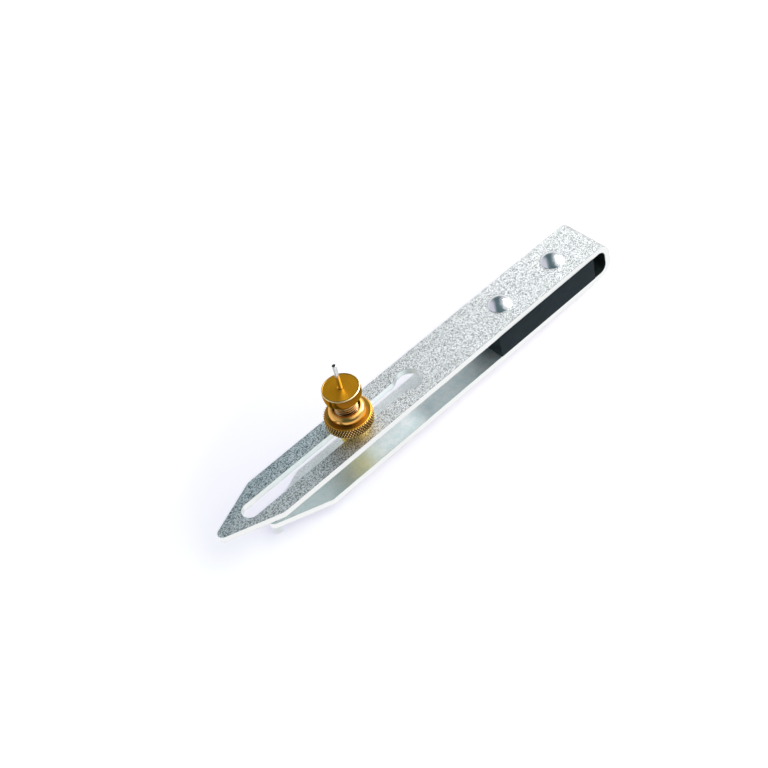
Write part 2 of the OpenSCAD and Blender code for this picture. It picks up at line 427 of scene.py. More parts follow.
def nut_section():
    """Closed half section of the nut: boss, knurled band, shelf, the collar's dome, mouth and bore."""
    root = KNURL_R - KNURL_DEPTH
    band_low = KNURL_Z + KNURL_EDGE
    band_high = COLLAR_Z - KNURL_EDGE
    rows = [(root, band_low + (band_high - band_low) * i / KNURL_ROWS) for i in range(KNURL_ROWS + 1)]
    side_top = COLLAR_Z + COLLAR_SIDE
    quarter = arc((0, 0), 1, 0, 90, COLLAR_STEPS)
    dome_in = COLLAR_R - MOUTH_R
    dome_up = NUT_TOP - side_top
    collar = [(MOUTH_R + dome_in * r, side_top + dome_up * h) for r, h in quarter]
    return (
        [(NUT_BORE_R, NUT_Z), (NUT_BOSS_R - SMALL_EDGE, NUT_Z), (NUT_BOSS_R, NUT_Z + SMALL_EDGE)]
        + [(NUT_BOSS_R, KNURL_Z), (root - KNURL_EDGE, KNURL_Z)]
        + rows
        + [(root - KNURL_EDGE, COLLAR_Z), (COLLAR_R, COLLAR_Z)]
        + collar
        + [(NUT_BORE_R, NUT_TOP - MOUTH_DEPTH), (NUT_BORE_R, NUT_Z)]
    )


def knurled_nut():
    """The nut, with every other point of its band raised, which makes a diamond knurl."""
    columns = 2 * KNURL_PEAKS
    piece = turned("brass_nut", nut_section(), steps=columns)
    band_low = KNURL_Z + KNURL_EDGE
    row_h = (KNURL_H - 2 * KNURL_EDGE) / KNURL_ROWS
    root = KNURL_R - KNURL_DEPTH

    def is_peak(point):
        if math.hypot(point.x, point.y) < root - WELD:
            return False
        row = round((point.z - band_low) / row_h)
        column = round(math.atan2(point.y, point.x) / FULL_TURN * columns)
        return (row + column) % 2 == 0

    def in_band(middle):
        return math.hypot(middle.x, middle.y) > root - KNURL_EDGE and KNURL_Z < middle.z < COLLAR_Z

    select_where(piece, "VERT", is_peak)
    grow = KNURL_R / root
    bpy.ops.transform.resize(value=(grow, grow, 1), center_override=(0, 0, 0))
    select_where(piece, "FACE", in_band)
    bpy.ops.mesh.quads_convert_to_tris(quad_method="SHORTEST_DIAGONAL")
    place(piece, SCREW_X)
    smooth(piece)
    return piece


def thread_ridge():
    """The thread's ridge: its section swept up one pitch for each turn, closed at both ends."""
    foot_r = THREAD_CORE_R - RIDGE_SINK
    middle = THREAD_Z + THREAD_PITCH / 2
    section = [
        (foot_r, -RIDGE_FOOT / 2), (THREAD_R, -RIDGE_CREST / 2),
        (THREAD_R, RIDGE_CREST / 2), (foot_r, RIDGE_FOOT / 2),
    ]
    corners = [Vector((*around((0, 0), radius, RIDGE_START), middle + height)) for radius, height in section]
    piece = wire("ridge", corners + corners[:1])
    bpy.ops.mesh.select_all(action="SELECT")
    bpy.ops.mesh.remove_doubles(threshold=WELD)
    turns = math.ceil((HEAD_Z - THREAD_Z) / THREAD_PITCH)
    apply(
        piece, "SCREW", angle=FULL_TURN, screw_offset=THREAD_PITCH, iterations=turns,
        steps=THREAD_STEPS, render_steps=THREAD_STEPS, axis="Z",
    )
    bpy.ops.object.mode_set(mode="EDIT")
    bpy.ops.mesh.select_all(action="SELECT")
    bpy.ops.mesh.fill_holes(sides=len(section))
    weld()
    leave_edit()
    return piece


def screw_section():
    """Half section of the screw without its ridge: spigot, neck, core, and a head sunk inside its lip."""
    half_side = HEAD_H / 2 - HEAD_EDGE
    side_r = (half_side**2 + HEAD_BARREL**2) / (2 * HEAD_BARREL)
    half_angle = math.degrees(math.asin(half_side / side_r))
    side = arc((HEAD_R - side_r, HEAD_Z + HEAD_H / 2), side_r, -half_angle, half_angle, HEAD_SIDE_STEPS)
    rim = HEAD_R - HEAD_BARREL - HEAD_EDGE
    dish_r = rim - HEAD_LIP
    dish_z = HEAD_TOP - HEAD_DISH
    shank = [
        (0, FOOT_Z), (FOOT_SPIGOT_R - SMALL_EDGE, FOOT_Z), (FOOT_SPIGOT_R, FOOT_Z + SMALL_EDGE),
        (FOOT_SPIGOT_R, UPPER_Z), (NECK_R, UPPER_Z), (NECK_R, THREAD_Z), (THREAD_CORE_R, THREAD_Z),
        (THREAD_CORE_R, HEAD_Z),
    ]
    top = [(rim, HEAD_TOP), (dish_r + HEAD_DISH, HEAD_TOP), (dish_r, dish_z), (0, dish_z)]
    return shank + [(rim, HEAD_Z)] + side + top


def flat_waste(side):
    """What is cut off one side of the neck to leave a flat that runs along the slot."""
    inner = side * NECK_FLAT
    reach = NECK_R + SPARE
    outer = side * reach
    outline = [(-reach, inner), (reach, inner), (reach, outer), (-reach, outer)]
    return prism("flat_waste", outline, UPPER_Z, THREAD_Z)


def clamp_screw():
    """The screw: a lathe body with flats on its neck and a thread, drilled for the needle."""
    piece = turned("brass_screw", screw_section())
    for side in (1, -1):
        carve(piece, flat_waste(side), "DIFFERENCE")
    carve(piece, thread_ridge(), "UNION")
    low = FOOT_Z - SPARE
    top = HEAD_TOP - HEAD_DISH
    high = HEAD_TOP + SPARE
    bit = turned("bit", [
        (0, low), (NEEDLE_HOLE_R, low), (NEEDLE_HOLE_R, top - HOLE_MOUTH),
        (NEEDLE_HOLE_R + HOLE_MOUTH, top), (NEEDLE_HOLE_R + HOLE_MOUTH, high), (0, high),
    ], steps=BIT_STEPS)
    carve(piece, bit, "DIFFERENCE")
    place(piece, SCREW_X)
    smooth(piece, SMOOTH_THREAD, weigh=True)
    return piece


def needle_section():
    """Half section of the needle, from its ground point to its flat top."""
    return [
        (0, NEEDLE_LOW), (NEEDLE_R, NEEDLE_LOW + NEEDLE_POINT), (NEEDLE_R, NEEDLE_TOP - NEEDLE_END),
        (NEEDLE_R - NEEDLE_END, NEEDLE_TOP), (0, NEEDLE_TOP),
    ]


def feed(tree, socket, value):
    """Joins a socket to another one, or sets it to a plain value."""
    if isinstance(value, bpy.types.NodeSocket):
        tree.links.new(value, socket)
    else:
        socket.default_value = value


def join_nodes(tree, kind, inputs=None, **settings):
    """A new shader node with its settings, and its inputs fed with values or other sockets."""
    made = tree.nodes.new(kind)
    for name, value in settings.items():
        setattr(made, name, value)
    for socket, value in (inputs or {}).items():
        feed(tree, made.inputs[socket], value)
    return made


def math_node(tree, operation, first, second=0.0):
    """One step of arithmetic, whose second value may be left out."""
    return join_nodes(tree, "ShaderNodeMath", {0: first, 1: second}, operation=operation).outputs[0]


def times(tree, first, second):
    """The product of two values, or the overlap of two masks."""
    return math_node(tree, "MULTIPLY", first, second)


def rest_of(tree, mask):
    """What a mask leaves over."""
    return math_node(tree, "SUBTRACT", 1.0, mask)


def vector_value(tree, operation, first, second=(0, 0, 0)):
    """A single value worked out from vectors, such as a length or a dot product."""
    made = join_nodes(tree, "ShaderNodeVectorMath", {0: first, 1: second}, operation=operation)
    return made.outputs["Value"]


def axes(tree, vector):
    """The three parts of a vector, named X, Y and Z."""
    return join_nodes(tree, "ShaderNodeSeparateXYZ", {"Vector": vector}).outputs


def surface_facing(tree):
    """The three parts of the direction in which the surface faces."""
    return axes(tree, join_nodes(tree, "ShaderNodeNewGeometry").outputs["Normal"])


def from_axis(tree, place_socket):
    """How far a place is from the upright axis."""
    flat = join_nodes(tree, "ShaderNodeVectorMath", {0: place_socket, 1: (1, 1, 0)}, operation="MULTIPLY")
    return vector_value(tree, "LENGTH", flat.outputs["Vector"])


def noise(tree, place_socket, scale, detail, roughness=0.5):
    """Cloudy values at a given scale."""
    inputs = {"Vector": place_socket, "Scale": scale, "Detail": detail, "Roughness": roughness}
    return join_nodes(tree, "ShaderNodeTexNoise", inputs).outputs["Fac"]


def span(tree, value, low, high, to_low=0.0, to_high=1.0):
    """A value brought from one range to another, held at its ends."""
    inputs = {"Value": value, "From Min": low, "From Max": high, "To Min": to_low, "To Max": to_high}
    return join_nodes(tree, "ShaderNodeMapRange", inputs, interpolation_type="SMOOTHSTEP").outputs["Result"]


# Where a Mix node keeps its two colours and their mix
MIX_FIRST = 6
MIX_SECOND = 7
MIX_RESULT = 2


def blend_colour(tree, share, first, second):
    """A mix of two colours, each of them a socket or three plain values."""
    mix = join_nodes(tree, "ShaderNodeMix", {"Factor": share}, data_type="RGBA")
    for number, colour in ((MIX_FIRST, first), (MIX_SECOND, second)):
        feed(tree, mix.inputs[number], (*colour, 1) if isinstance(colour, tuple) else colour)
    return mix.outputs[MIX_RESULT]


def new_group(name, sizes, gives):
    """An empty shader group that takes a place and some sizes, and gives some values."""
    tree = bpy.data.node_groups.new(name, "ShaderNodeTree")
    tree.interface.new_socket(name="Place", in_out="INPUT", socket_type="NodeSocketVector")
    for label in sizes:
        tree.interface.new_socket(name=label, in_out="INPUT", socket_type="NodeSocketFloat")
    for label in gives:
        tree.interface.new_socket(name=label, in_out="OUTPUT", socket_type="NodeSocketFloat")
    return tree, tree.nodes.new("NodeGroupInput").outputs, tree.nodes.new("NodeGroupOutput").inputs


# How the shared effects are mixed
CRYSTAL_SHARE = 0.85
CLOUD_SHARE = 0.3
CLOUD_SCALE = 0.3
SPECKLE_RANGE = (0.25, 0.7)
EDGE_SAMPLES = 6
EDGE_RANGE = (0.99, 0.86)
SCRATCH_STRETCH = (0.05, 1, 1)
SCRATCHES_PER_METRE = 5200.0


def grain_group():
    """Grain of the plating: bright and dull crystals of a given size, and their height."""
    tree, takes, gives = new_group("plating grain", ["Crystal"], ["Speckle", "Height"])
    here = takes["Place"]
    scale = math_node(tree, "DIVIDE", 1.0, takes["Crystal"])
    crystals = join_nodes(tree, "ShaderNodeTexVoronoi", {"Vector": here, "Scale": scale})
    shade = join_nodes(tree, "ShaderNodeSeparateColor", {"Color": crystals.outputs["Color"]}).outputs["Red"]
    clouds = noise(tree, here, times(tree, scale, CLOUD_SCALE), detail=3.0)
    both = math_node(tree, "ADD", times(tree, shade, CRYSTAL_SHARE), times(tree, clouds, CLOUD_SHARE))
    feed(tree, gives["Speckle"], span(tree, both, *SPECKLE_RANGE))
    feed(tree, gives["Height"], noise(tree, here, scale, detail=2.0))
    return tree


def turning_group():
    """Lathe marks: fine rings round an upright axis, at a given spacing along the surface."""
    tree, takes, gives = new_group("turning marks", ["Spacing"], ["Rings"])
    here = takes["Place"]
    along = math_node(tree, "ADD", from_axis(tree, here), axes(tree, here)["Z"])
    count = math_node(tree, "DIVIDE", along, takes["Spacing"])
    inputs = {"W": count, "Scale": 1.0, "Detail": 3.0}
    rings = join_nodes(tree, "ShaderNodeTexNoise", inputs, noise_dimensions="1D")
    feed(tree, gives["Rings"], rings.outputs["Fac"])
    return tree


def wear_group():
    """Worn edges: where the surface turns within a small radius, broken up into patches."""
    tree, takes, gives = new_group("edge wear", ["Radius", "Patch"], ["Mask"])
    rounded = join_nodes(tree, "ShaderNodeBevel", {"Radius": takes["Radius"]}, samples=EDGE_SAMPLES)
    true = join_nodes(tree, "ShaderNodeNewGeometry")
    agree = vector_value(tree, "DOT_PRODUCT", rounded.outputs["Normal"], true.outputs["Normal"])
    scale = math_node(tree, "DIVIDE", 1.0, takes["Patch"])
    broken = span(tree, noise(tree, takes["Place"], scale, detail=3.0), 0.3, 0.6, 0.35, 1.0)
    feed(tree, gives["Mask"], times(tree, span(tree, agree, *EDGE_RANGE), broken))
    return tree


def marks_group():
    """Handling marks: soft patches of a given size, and fine scratches drawn along the length."""
    tree, takes, gives = new_group("handling marks", ["Patch"], ["Patches", "Scratches"])
    here = takes["Place"]
    scale = math_node(tree, "DIVIDE", 1.0, takes["Patch"])
    patches = noise(tree, here, scale, detail=4.0, roughness=0.6)
    feed(tree, gives["Patches"], span(tree, patches, 0.3, 0.7))
    drawn = join_nodes(tree, "ShaderNodeMapping", {"Vector": here, "Scale": SCRATCH_STRETCH})
    lines = noise(tree, drawn.outputs["Vector"], SCRATCHES_PER_METRE, detail=3.0)
    feed(tree, gives["Scratches"], span(tree, lines, 0.35, 0.65))
    return tree


GRAIN = grain_group()
TURNING = turning_group()
WEAR = wear_group()
MARKS = marks_group()


def effect(tree, group, **inputs):
    """Places a shared effect in a material and returns its outputs."""
    made = tree.nodes.new("ShaderNodeGroup")
    made.node_tree = group
    for name, value in inputs.items():
        feed(tree, made.inputs[name.capitalize()], value)
    return made.outputs


def new_material(name, metallic):
    """A material with its shader, and the place on the piece that its patterns read."""
    material = bpy.data.materials.new(name)
    material.use_nodes = True
    tree = material.node_tree
    shader = tree.nodes["Principled BSDF"]
    shader.inputs["Metallic"].default_value = metallic
    place_node = tree.nodes.new("ShaderNodeTexCoord")
    return material, tree, shader.inputs, place_node.outputs["Object"]


def centred(tree, place_socket, x):
    """The place on a piece, measured from an upright axis at x."""
    inputs = {"Vector": place_socket, "Location": (-x, 0, 0)}
    return join_nodes(tree, "ShaderNodeMapping", inputs).outputs["Vector"]


def bump(tree, height, depth):
    """A bump of a real depth."""
    inputs = {"Height": height, "Distance": depth, "Strength": 1.0}
    return join_nodes(tree, "ShaderNodeBump", inputs).outputs["Normal"]


# The width over which one finish fades into the next
FADE = 0.1 * MM

# Zinc plating on the outer faces, between the arms and where it is cut, with painted shade and painted light
# as noted
ZINC = (0.84, 0.85, 0.85)
ZINC_PALE = (0.90, 0.90, 0.90)
# Painted shade before the clamp, on the outer faces
ZINC_FRONT_SHADE = (0.66, 0.74, 0.77)
# Paler between the arms: painted light on faces that the arms shade
ZINC_INSIDE_LIT = (0.80, 0.91, 0.92)
ZINC_INSIDE_LIT_PALE = (0.99, 1.0, 1.0)
# Painted shade before the clamp, between the arms
ZINC_INSIDE_FRONT_SHADE = (0.67, 0.79, 0.78)
# Dull white painted light on the left between the arms
ZINC_DULL_PAINTED_LIGHT = (0.97, 0.99, 1.0)
ZINC_CUT = (0.96, 0.97, 0.97)
# Painted shade: dark lines along the eased edges
ZINC_EDGE_SHADE = (0.24, 0.29, 0.31)
# Painted shade in the hollow of the bend
ZINC_BEND_SHADE = (0.15, 0.20, 0.19)
CRYSTAL_DARK = (0.26, 0.27, 0.27)
# Painted shade before the clamp, in the grain
CRYSTAL_FRONT_SHADE = (0.07, 0.13, 0.14)


def plated_strip():
    """Zinc plating: speckled outside, darker with painted shade before the clamp and towards the left,
    bright on the cut edges, with painted shade along its eased edges and in the bend.

    Between the arms it is paler, painted light on faces that the arms shade; it is smoother on the right
    side, and dull and white with painted light on the left.
    """
    material, tree, shader, here = new_material("plated strip", 1.0)
    grain = effect(tree, GRAIN, place=here, crystal=0.25 * MM)
    marks = effect(tree, MARKS, place=here, patch=14 * MM)
    clouds = effect(tree, MARKS, place=here, patch=2.5 * MM)
    wear = effect(tree, WEAR, place=here, radius=0.35 * MM, patch=2.5 * MM)
    spot = axes(tree, here)
    facing = surface_facing(tree)

    before_block = span(tree, spot["X"], BLOCK_FRONT_X, BLOCK_FRONT_X - MM)
    sideways = math_node(tree, "ABSOLUTE", facing["Y"])
    endways = times(tree, math_node(tree, "ABSOLUTE", facing["X"]), before_block)
    cut_edge = span(tree, math_node(tree, "MAXIMUM", sideways, endways), 0.35, 0.75)
    above_low = span(tree, spot["Z"], LOWER_TOP - 2 * FADE, LOWER_TOP - FADE)
    below_high = span(tree, spot["Z"], UPPER_Z + 2 * FADE, UPPER_Z + FADE)
    inside = times(tree, times(tree, above_low, below_high), span(tree, facing["X"], 0.3, 0.0))
    # Painted shade between the arms behind the block, in the hollow of the bend
    behind_block = span(tree, spot["X"], BLOCK_BACK_X - MM, BLOCK_BACK_X + MM)
    bend_shade = times(tree, times(tree, inside, rest_of(tree, cut_edge)), behind_block)
    # Between the arms: smoother on the right side, and a dull white patch of painted light on the left
    rubbed = times(tree, inside, span(tree, spot["Y"], SLOT_W / 2, 0, 0.1, 0.9))
    dull_painted_light = math_node(tree, "SUBTRACT", inside, rubbed)
    # Painted shade: darker before the clamp, and more so towards the left side
    before_clamp = span(tree, spot["X"], SCREW_X + 2 * KNURL_R, SCREW_X - 2 * KNURL_R)
    left_side = span(tree, spot["Y"], -STRIP_W / 2, STRIP_W / 2, 0.35, 1.0)
    painted_front_shade = times(tree, before_clamp, left_side)
    calm = math_node(tree, "MAXIMUM", cut_edge, rubbed)
    rough_grain = rest_of(tree, calm)
    metal_share = span(tree, dull_painted_light, 0.0, 1.0, 1.0, 0.25)
    speckle = times(tree, rest_of(tree, grain["Speckle"]), times(tree, rough_grain, metal_share))

    outer = blend_colour(tree, marks["Patches"], ZINC, ZINC_PALE)
    front_shaded = blend_colour(tree, painted_front_shade, outer, ZINC_FRONT_SHADE)
    inside_lit = blend_colour(tree, clouds["Patches"], ZINC_INSIDE_LIT, ZINC_INSIDE_LIT_PALE)
    inside_front_shaded = blend_colour(tree, painted_front_shade, inside_lit, ZINC_INSIDE_FRONT_SHADE)
    plain = blend_colour(tree, dull_painted_light, blend_colour(tree, inside, front_shaded, inside_front_shaded), ZINC_DULL_PAINTED_LIGHT)
    crystal = blend_colour(tree, painted_front_shade, CRYSTAL_DARK, CRYSTAL_FRONT_SHADE)
    speckled = blend_colour(tree, speckle, plain, crystal)
    edged = blend_colour(tree, cut_edge, speckled, ZINC_CUT)
    # Painted shade: dark lines along the eased edges, in patches
    edge_shaded = blend_colour(tree, times(tree, wear["Mask"], 0.8), edged, ZINC_EDGE_SHADE)
    feed(tree, shader["Base Color"], blend_colour(tree, bend_shade, edge_shaded, ZINC_BEND_SHADE))

    feed(tree, shader["Metallic"], metal_share)
    base_rough = math_node(tree, "ADD", span(tree, calm, 0.0, 1.0, 0.47, 0.36), times(tree, dull_painted_light, 0.3))
    scratched = times(tree, marks["Scratches"], 0.06)
    feed(tree, shader["Roughness"], math_node(tree, "ADD", base_rough, scratched))
    grain_height = times(tree, grain["Height"], math_node(tree, "ADD", rough_grain, 0.12))
    feed(tree, shader["Normal"], bump(tree, grain_height, 0.10 * MM))
    return material


# Bright plating on the rivets and the pin
RIVET_GREY = (0.80, 0.82, 0.85)
RIVET_PALE = (0.88, 0.89, 0.90)
RIVET_WORN = (0.93, 0.93, 0.93)
PIN_GREY = (0.58, 0.63, 0.66)
PIN_PALE = (0.80, 0.83, 0.84)
# Painted shade round the pin's foot and where it meets the strip
PIN_RIM_SHADE = (0.07, 0.08, 0.08)


def plated_rivet():
    """Bright plating on the rivets: nearly smooth, with a faint grain."""
    material, tree, shader, here = new_material("plated rivet", 1.0)
    grain = effect(tree, GRAIN, place=here, crystal=0.6 * MM)
    marks = effect(tree, MARKS, place=here, patch=3 * MM)
    wear = effect(tree, WEAR, place=here, radius=0.2 * MM, patch=1 * MM)
    plain = blend_colour(tree, marks["Patches"], RIVET_GREY, RIVET_PALE)
    feed(tree, shader["Base Color"], blend_colour(tree, wear["Mask"], plain, RIVET_WORN))
    feed(tree, shader["Roughness"], span(tree, marks["Patches"], 0.0, 1.0, 0.16, 0.22))
    feed(tree, shader["Normal"], bump(tree, grain["Height"], 0.02 * MM))
    return material


def pin_steel():
    """Plated pin with turning marks, and painted shade round its foot and where it meets the strip."""
    material, tree, shader, here = new_material("pin steel", 1.0)
    rings = effect(tree, TURNING, place=centred(tree, here, PIN_X), spacing=0.3 * MM)
    marks = effect(tree, MARKS, place=here, patch=0.7 * MM)
    height = axes(tree, here)["Z"]
    foot = span(tree, height, 0.9 * PIN_EDGE, 0.3 * PIN_EDGE)
    joint = span(tree, height, LOWER_Z - 4.5 * FADE, LOWER_Z - FADE)
    # Painted shade at the foot and at the joint with the strip, in patches
    pin_rim_shade = times(tree, math_node(tree, "MAXIMUM", foot, joint), marks["Patches"])
    plain = blend_colour(tree, rings["Rings"], PIN_GREY, PIN_PALE)
    feed(tree, shader["Base Color"], blend_colour(tree, pin_rim_shade, plain, PIN_RIM_SHADE))
    feed(tree, shader["Roughness"], span(tree, marks["Patches"], 0.0, 1.0, 0.18, 0.32))
    feed(tree, shader["Normal"], bump(tree, rings["Rings"], 0.01 * MM))
    return material


# Brass: plain, tarnished and with painted shade on its upright faces, and as it is at the places on the
# clamp, where some colours are painted shade, highlight or light as noted
BRASS = (0.86, 0.36, 0.015)
BRASS_PALE = (0.92, 0.41, 0.020)
BRASS_RING = (0.50, 0.22, 0.012)
# Tarnish and painted shade on upright faces
BRASS_BROWN = (0.30, 0.12, 0.010)
BRASS_DARK = (0.12, 0.045, 0.004)
BRASS_COLLAR = (0.82, 0.43, 0.10)
# Painted shade in the collar's mouth
BRASS_MOUTH_SHADE = (0.14, 0.065, 0.010)
# Painted shade on the shelf between the collar and the knurl
BRASS_SHELF_SHADE = (0.27, 0.16, 0.03)
# Painted shade in a line just inside the head's rim
BRASS_LIP_SHADE = (0.20, 0.11, 0.01)
# Painted highlight along the head's top rim
BRASS_RIM_HIGHLIGHT = (0.98, 0.80, 0.46)
BRASS_CREST = (0.80, 0.55, 0.26)
# Painted shade in the thread's grooves
BRASS_GROOVE_SHADE = (0.05, 0.03, 0.01)
# Painted shade in the knurl's pits
BRASS_PIT_SHADE = (0.030, 0.014, 0.002)
BRASS_WORN = (0.97, 0.72, 0.34)
# Painted light on the brass that sits in shade under the nut and below the upper arm
BRASS_UNDER_NUT_LIGHT = (0.88, 0.62, 0.14)
BRASS_BELOW_ARM_LIGHT = (0.95, 0.78, 0.25)
BRASS_TINT = (0.95, 0.72, 0.35, 1.0)


def turned_brass():
    """Brass off the lathe: fine rings, tarnish and painted shade on upright faces and in the knurl, paler
    along its edges.
    """
    material, tree, shader, here = new_material("turned brass", 1.0)
    axis_place = centred(tree, here, SCREW_X)
    rings = effect(tree, TURNING, place=axis_place, spacing=0.36 * MM)["Rings"]
    marks = effect(tree, MARKS, place=here, patch=4 * MM)
    wear = effect(tree, WEAR, place=here, radius=0.25 * MM, patch=0.8 * MM)
    height = axes(tree, here)["Z"]
    radius = from_axis(tree, axis_place)
    upright = span(tree, math_node(tree, "ABSOLUTE", surface_facing(tree)["Z"]), 0.85, 0.2)

    root = KNURL_R - KNURL_DEPTH
    in_knurl = span(tree, radius, root - 0.3 * FADE, root - 0.2 * FADE)
    # Painted shade in the knurl's pits
    pit_shade = times(tree, in_knurl, span(tree, radius, root + 0.5 * KNURL_DEPTH, root + 0.2 * KNURL_DEPTH))
    crests = times(tree, in_knurl, span(tree, radius, root + 0.4 * KNURL_DEPTH, root + 0.65 * KNURL_DEPTH))
    below_head = span(tree, height, HEAD_Z + FADE, HEAD_Z - FADE)
    on_thread = times(tree, span(tree, radius, THREAD_R + 0.3 * FADE, THREAD_R + 0.1 * FADE), below_head)
    # Painted shade in the thread's grooves
    groove_shade = span(tree, radius, THREAD_R - FADE, THREAD_CORE_R + FADE)
    above_shelf = span(tree, height, COLLAR_Z - 2 * FADE, COLLAR_Z - FADE)
    near_shelf = times(tree, above_shelf, span(tree, height, COLLAR_Z + 7 * FADE, COLLAR_Z + FADE))
    # Painted shade on the shelf between the collar and the knurl
    shelf = times(tree, near_shelf, span(tree, radius, root - FADE, root - 4 * FADE))
    above_arm = span(tree, height, UPPER_Z - FADE, UPPER_Z + FADE)
    # Painted light under the nut and below the upper arm, where the brass sits in shade
    under_nut = times(tree, span(tree, height, KNURL_Z + 2 * FADE, KNURL_Z + FADE), above_arm)
    below_arm = span(tree, height, UPPER_Z + 2 * FADE, UPPER_Z + FADE)
    near_top = span(tree, height, HEAD_TOP - 1.6 * HEAD_EDGE, HEAD_TOP - 1.1 * HEAD_EDGE)
    rim_r = HEAD_R - HEAD_BARREL - HEAD_EDGE
    lip_r = rim_r - HEAD_LIP
    # Painted highlight along the head's top rim
    rim = times(tree, near_top, span(tree, radius, rim_r - 0.5 * FADE, rim_r))
    # Painted shade in a line just inside the head's rim
    lip = times(tree, near_top, span(tree, radius, lip_r - 2.5 * FADE, lip_r))
    below_top = span(tree, height, NUT_TOP + 2 * FADE, NUT_TOP + FADE)
    on_collar = times(tree, span(tree, height, COLLAR_Z + FADE, COLLAR_Z + 3 * FADE), below_top)
    # Painted shade in the collar's mouth
    mouth_shade = times(tree, on_collar, span(tree, radius, MOUTH_R, MOUTH_R - 1.5 * FADE))

    plain = blend_colour(tree, marks["Patches"], BRASS, BRASS_PALE)
    ringed = blend_colour(tree, span(tree, rings, 0.35, 0.65, 0.0, 0.4), plain, BRASS_RING)
    # Tarnish and painted shade on upright faces, in rings
    upright_shade = blend_colour(tree, span(tree, rings, 0.4, 0.6), BRASS_BROWN, BRASS_DARK)
    colour = blend_colour(tree, times(tree, upright, 0.9), ringed, upright_shade)
    colour = blend_colour(tree, on_collar, colour, BRASS_COLLAR)
    colour = blend_colour(tree, mouth_shade, colour, BRASS_MOUTH_SHADE)
    colour = blend_colour(tree, times(tree, shelf, 0.9), colour, BRASS_SHELF_SHADE)
    colour = blend_colour(tree, times(tree, lip, 0.7), colour, BRASS_LIP_SHADE)
    colour = blend_colour(tree, times(tree, rim, 0.9), colour, BRASS_RIM_HIGHLIGHT)
    colour = blend_colour(tree, on_thread, colour, blend_colour(tree, groove_shade, BRASS_CREST, BRASS_GROOVE_SHADE))
    colour = blend_colour(tree, pit_shade, colour, BRASS_PIT_SHADE)
    rubbed = math_node(tree, "MAXIMUM", times(tree, wear["Mask"], 0.45), crests)
    colour = blend_colour(tree, rubbed, colour, BRASS_WORN)
    colour = blend_colour(tree, under_nut, colour, BRASS_UNDER_NUT_LIGHT)
    feed(tree, shader["Base Color"], blend_colour(tree, below_arm, colour, BRASS_BELOW_ARM_LIGHT))

    plain_rough = span(tree, upright, 0.0, 1.0, 0.40, 0.18)
    feed(tree, shader["Roughness"], math_node(tree, "SUBTRACT", plain_rough, times(tree, on_collar, 0.12)))
    feed(tree, shader["Coat Weight"], span(tree, on_collar, 0.0, 1.0, 0.03, 0.4))
    shader["Coat Roughness"].default_value = 0.1
    shader["Specular Tint"].default_value = BRASS_TINT
    feed(tree, shader["Normal"], bump(tree, rings, 0.002 * MM))
    return material


# The black bar and the needle
BAR_BLACK = (0.001, 0.009, 0.015)
BAR_GREY = (0.003, 0.013, 0.020)
BAR_WORN = (0.03, 0.04, 0.045)
BAR_TINT = (0.72, 0.93, 1.0, 1.0)
NEEDLE_GREY = (0.70, 0.71, 0.72)
NEEDLE_PALE = (0.78, 0.78, 0.78)
NEEDLE_CROPPED = (0.05, 0.05, 0.055)


def black_bar():
    """Dull black bar with fine saw marks along it, slightly paler where its edges are rubbed."""
    material, tree, shader, here = new_material("black bar", 0.0)
    marks = effect(tree, MARKS, place=here, patch=6 * MM)
    wear = effect(tree, WEAR, place=here, radius=0.3 * MM, patch=1.5 * MM)
    plain = blend_colour(tree, marks["Patches"], BAR_BLACK, BAR_GREY)
    feed(tree, shader["Base Color"], blend_colour(tree, wear["Mask"], plain, BAR_WORN))
    feed(tree, shader["Roughness"], span(tree, marks["Scratches"], 0.0, 1.0, 0.38, 0.5))
    shader["Specular IOR Level"].default_value = 0.14
    shader["Specular Tint"].default_value = BAR_TINT
    feed(tree, shader["Normal"], bump(tree, marks["Scratches"], 0.012 * MM))
    return material


def needle_steel():
    """Bright hardened steel with fine grinding rings and a dark cropped top."""
    material, tree, shader, here = new_material("needle steel", 1.0)
    rings = effect(tree, TURNING, place=centred(tree, here, SCREW_X), spacing=0.12 * MM)
    marks = effect(tree, MARKS, place=here, patch=2 * MM)
    cropped = span(tree, axes(tree, here)["Z"], NEEDLE_TOP - 1.2 * FADE, NEEDLE_TOP - 0.2 * FADE)
    plain = blend_colour(tree, marks["Patches"], NEEDLE_GREY, NEEDLE_PALE)
    feed(tree, shader["Base Color"], blend_colour(tree, cropped, plain, NEEDLE_CROPPED))
    feed(tree, shader["Roughness"], span(tree, cropped, 0.0, 1.0, 0.17, 0.6))
    feed(tree, shader["Normal"], bump(tree, rings["Rings"], 0.003 * MM))
    return material


STRIP_FINISH = plated_strip()
RIVET_FINISH = plated_rivet()
PIN_FINISH = pin_steel()
BRASS_FINISH = turned_brass()
BLOCK_FINISH = black_bar()
NEEDLE_FINISH = needle_steel()


def fit(piece, node, body, finish):
    """Gives a piece its finish and lets it stand for a node of the part, on that node's body."""
    piece.data.materials.clear()
    piece.data.materials.append(finish)
    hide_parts(node)
    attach(piece, body)


def smooth_turned(name, section, x):
    """A lathe piece with its shading smoothed."""
    piece = turned(name, section, x)
    smooth(piece)
    return piece


def second_rivet(first):
    """A copy of the first rivet, with its own mesh, at the rear rivet's place."""
    copy = first.copy()
    copy.data = first.data.copy()
    copy.name = "rear_rivet"
    bpy.context.scene.collection.objects.link(copy)
    place(copy, RIVET_XS[1] - RIVET_XS[0])
    return copy


